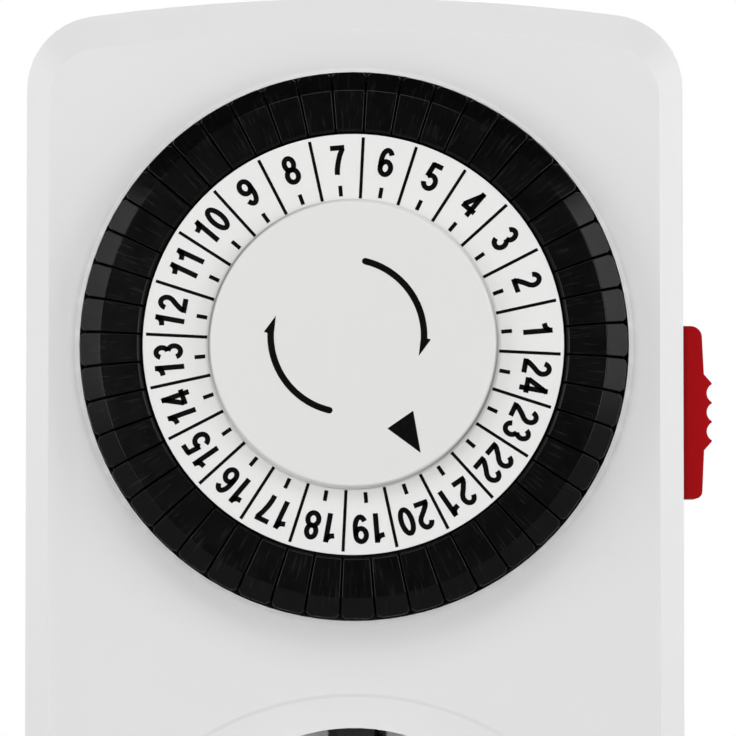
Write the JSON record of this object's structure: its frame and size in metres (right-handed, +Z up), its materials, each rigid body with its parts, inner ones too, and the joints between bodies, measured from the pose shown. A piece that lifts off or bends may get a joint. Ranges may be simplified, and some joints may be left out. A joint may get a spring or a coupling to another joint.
{
  "type": "plug in timer switch",
  "caption": "Mechanical 24-hour plug-in timer: round-pin plug at the back, socket in front, dial with push-in half-hour tappets and a side override slider.",
  "frame": {"origin": "centre of the plug's end face, midway between its two pins", "axes": "+Y out of the plug along its pins, -Y towards the viewer of the dial, +Z up, +X towards the override slider"},
  "size_m": [0.0744, 0.0817, 0.1255],
  "materials": {
    "housing": "satin moulded white",
    "white_cap": "satin",
    "number_print": "satin, printed black numbers",
    "axle_plastic": "satin",
    "dial_black": "satin",
    "tappet_black": "satin",
    "gear_plastic": "natural acetal",
    "spring_steel": "bright",
    "plated_steel": "zinc plated",
    "screw_steel": "zinc plated",
    "lever_plastic": "satin",
    "copper_alloy": "spring copper",
    "terminal_plastic": "phenolic",
    "brass_strip": "stamped",
    "earth_steel": "nickel plated",
    "pin_nickel": "nickel plated",
    "shutter_plastic": "satin",
    "slider_red": "satin moulded red"
  },
  "bodies": {
    "housing": {"front_cover": "housing", "rear_cover": "housing", "centre_cap": "white_cap", "dial_axle": "axle_plastic", "chassis_plate": "plated_steel", "chassis_screws": "screw_steel", "cover_screws": "screw_steel", "motor": "plated_steel", "gear_arbor": "spring_steel", "lever_pin": "spring_steel", "terminal_block": "terminal_plastic", "live_link": "brass_strip", "switched_link": "brass_strip", "neutral_link": "brass_strip", "live_socket_contact": "brass_strip", "neutral_socket_contact": "brass_strip", "contact_block": "terminal_plastic", "earth_strip": "earth_steel", "plug_earth_clips": "earth_steel", "live_pin": "pin_nickel", "neutral_pin": "pin_nickel", "socket_cup": "housing", "shutter_spring": "spring_steel"},
    "dial": {"dial_carrier": "dial_black", "number_ring": "number_print", "dial_gear": "gear_plastic", "clutch_washer": "spring_steel"},
    "gear": {"reduction_gear": "gear_plastic"},
    "pinion": {"motor_pinion": "gear_plastic"},
    "lever": {"switch_lever": "lever_plastic"},
    "leaf": {"contact_leaf": "copper_alloy"},
    "shutter": {"shutter": "shutter_plastic"},
    "slider": {"override_slider": "slider_red"},
    "hour_01": {"hour_01_tappets": "tappet_black"},
    "hour_02": {"hour_02_tappets": "tappet_black"},
    "hour_03": {"hour_03_tappets": "tappet_black"},
    "hour_04": {"hour_04_tappets": "tappet_black"},
    "hour_05": {"hour_05_tappets": "tappet_black"},
    "hour_06": {"hour_06_tappets": "tappet_black"},
    "hour_07": {"hour_07_tappets": "tappet_black"},
    "hour_08": {"hour_08_tappets": "tappet_black"},
    "hour_09": {"hour_09_tappets": "tappet_black"},
    "hour_10": {"hour_10_tappets": "tappet_black"},
    "hour_11": {"hour_11_tappets": "tappet_black"},
    "hour_12": {"hour_12_tappets": "tappet_black"},
    "hour_13": {"hour_13_tappets": "tappet_black"},
    "hour_14": {"hour_14_tappets": "tappet_black"},
    "hour_15": {"hour_15_tappets": "tappet_black"},
    "hour_16": {"hour_16_tappets": "tappet_black"},
    "hour_17": {"hour_17_tappets": "tappet_black"},
    "hour_18": {"hour_18_tappets": "tappet_black"},
    "hour_19": {"hour_19_tappets": "tappet_black"},
    "hour_20": {"hour_20_tappets": "tappet_black"},
    "hour_21": {"hour_21_tappets": "tappet_black"},
    "hour_22": {"hour_22_tappets": "tappet_black"},
    "hour_23": {"hour_23_tappets": "tappet_black"},
    "hour_24": {"hour_24_tappets": "tappet_black"}
  },
  "joints": [
    {"name": "dial_turn", "type": "hinge", "parent": "housing", "child": "dial", "pos_m": [0, -0.055, 0.06075], "axis": [0, 1, 0], "continuous": true},
    {"name": "gear_turn", "type": "hinge", "parent": "housing", "child": "gear", "pos_m": [-0.01273, -0.045, 0.07348], "axis": [0, 1, 0], "continuous": true},
    {"name": "pinion_turn", "type": "hinge", "parent": "housing", "child": "pinion", "pos_m": [-0.00145, -0.043, 0.06937], "axis": [0, 1, 0], "continuous": true},
    {"name": "override_slide", "type": "slide", "parent": "housing", "child": "slider", "axis": [0, 0, -1], "range_m": [0, 0.004]},
    {"name": "lever_rock", "type": "hinge", "parent": "housing", "child": "lever", "pos_m": [0.026, -0.04395, 0.05], "axis": [-1, 0, 0], "range_deg": [0, 4.3]},
    {"name": "leaf_bend", "type": "hinge", "parent": "housing", "child": "leaf", "pos_m": [0.026, -0.0463, 0.0313], "axis": [1, 0, 0], "range_deg": [0, 4.64]},
    {"name": "shutter_turn", "type": "hinge", "parent": "housing", "child": "shutter", "pos_m": [0, -0.037, 0], "axis": [0, 1, 0], "range_deg": [0, 40], "stiffness_Nm_per_rad": 0.002, "springref_deg": -11.46},
    {"name": "hour_01_push", "type": "slide", "parent": "dial", "child": "hour_01", "axis": [0, 1, 0], "range_m": [0, 0.003]},
    {"name": "hour_02_push", "type": "slide", "parent": "dial", "child": "hour_02", "axis": [0, 1, 0], "range_m": [0, 0.003]},
    {"name": "hour_03_push", "type": "slide", "parent": "dial", "child": "hour_03", "axis": [0, 1, 0], "range_m": [0, 0.003]},
    {"name": "hour_04_push", "type": "slide", "parent": "dial", "child": "hour_04", "axis": [0, 1, 0], "range_m": [0, 0.003]},
    {"name": "hour_05_push", "type": "slide", "parent": "dial", "child": "hour_05", "axis": [0, 1, 0], "range_m": [0, 0.003]},
    {"name": "hour_06_push", "type": "slide", "parent": "dial", "child": "hour_06", "axis": [0, 1, 0], "range_m": [0, 0.003]},
    {"name": "hour_07_push", "type": "slide", "parent": "dial", "child": "hour_07", "axis": [0, 1, 0], "range_m": [0, 0.003]},
    {"name": "hour_08_push", "type": "slide", "parent": "dial", "child": "hour_08", "axis": [0, 1, 0], "range_m": [0, 0.003]},
    {"name": "hour_09_push", "type": "slide", "parent": "dial", "child": "hour_09", "axis": [0, 1, 0], "range_m": [0, 0.003]},
    {"name": "hour_10_push", "type": "slide", "parent": "dial", "child": "hour_10", "axis": [0, 1, 0], "range_m": [0, 0.003]},
    {"name": "hour_11_push", "type": "slide", "parent": "dial", "child": "hour_11", "axis": [0, 1, 0], "range_m": [0, 0.003]},
    {"name": "hour_12_push", "type": "slide", "parent": "dial", "child": "hour_12", "axis": [0, 1, 0], "range_m": [0, 0.003]},
    {"name": "hour_13_push", "type": "slide", "parent": "dial", "child": "hour_13", "axis": [0, 1, 0], "range_m": [0, 0.003]},
    {"name": "hour_14_push", "type": "slide", "parent": "dial", "child": "hour_14", "axis": [0, 1, 0], "range_m": [0, 0.003]},
    {"name": "hour_15_push", "type": "slide", "parent": "dial", "child": "hour_15", "axis": [0, 1, 0], "range_m": [0, 0.003]},
    {"name": "hour_16_push", "type": "slide", "parent": "dial", "child": "hour_16", "axis": [0, 1, 0], "range_m": [0, 0.003]},
    {"name": "hour_17_push", "type": "slide", "parent": "dial", "child": "hour_17", "axis": [0, 1, 0], "range_m": [0, 0.003]},
    {"name": "hour_18_push", "type": "slide", "parent": "dial", "child": "hour_18", "axis": [0, 1, 0], "range_m": [0, 0.003]},
    {"name": "hour_19_push", "type": "slide", "parent": "dial", "child": "hour_19", "axis": [0, 1, 0], "range_m": [0, 0.003]},
    {"name": "hour_20_push", "type": "slide", "parent": "dial", "child": "hour_20", "axis": [0, 1, 0], "range_m": [0, 0.003]},
    {"name": "hour_21_push", "type": "slide", "parent": "dial", "child": "hour_21", "axis": [0, 1, 0], "range_m": [0, 0.003]},
    {"name": "hour_22_push", "type": "slide", "parent": "dial", "child": "hour_22", "axis": [0, 1, 0], "range_m": [0, 0.003]},
    {"name": "hour_23_push", "type": "slide", "parent": "dial", "child": "hour_23", "axis": [0, 1, 0], "range_m": [0, 0.003]},
    {"name": "hour_24_push", "type": "slide", "parent": "dial", "child": "hour_24", "axis": [0, 1, 0], "range_m": [0, 0.003]}
  ],
  "couplings": [
    {"joint": "gear_turn", "follows": "dial_turn", "ratio": -5},
    {"joint": "pinion_turn", "follows": "dial_turn", "ratio": 15},
    {"joint": "lever_rock", "follows": "override_slide", "rad_per_m": 18.762},
    {"joint": "leaf_bend", "follows": "override_slide", "rad_per_m": 20.246}
  ]
}
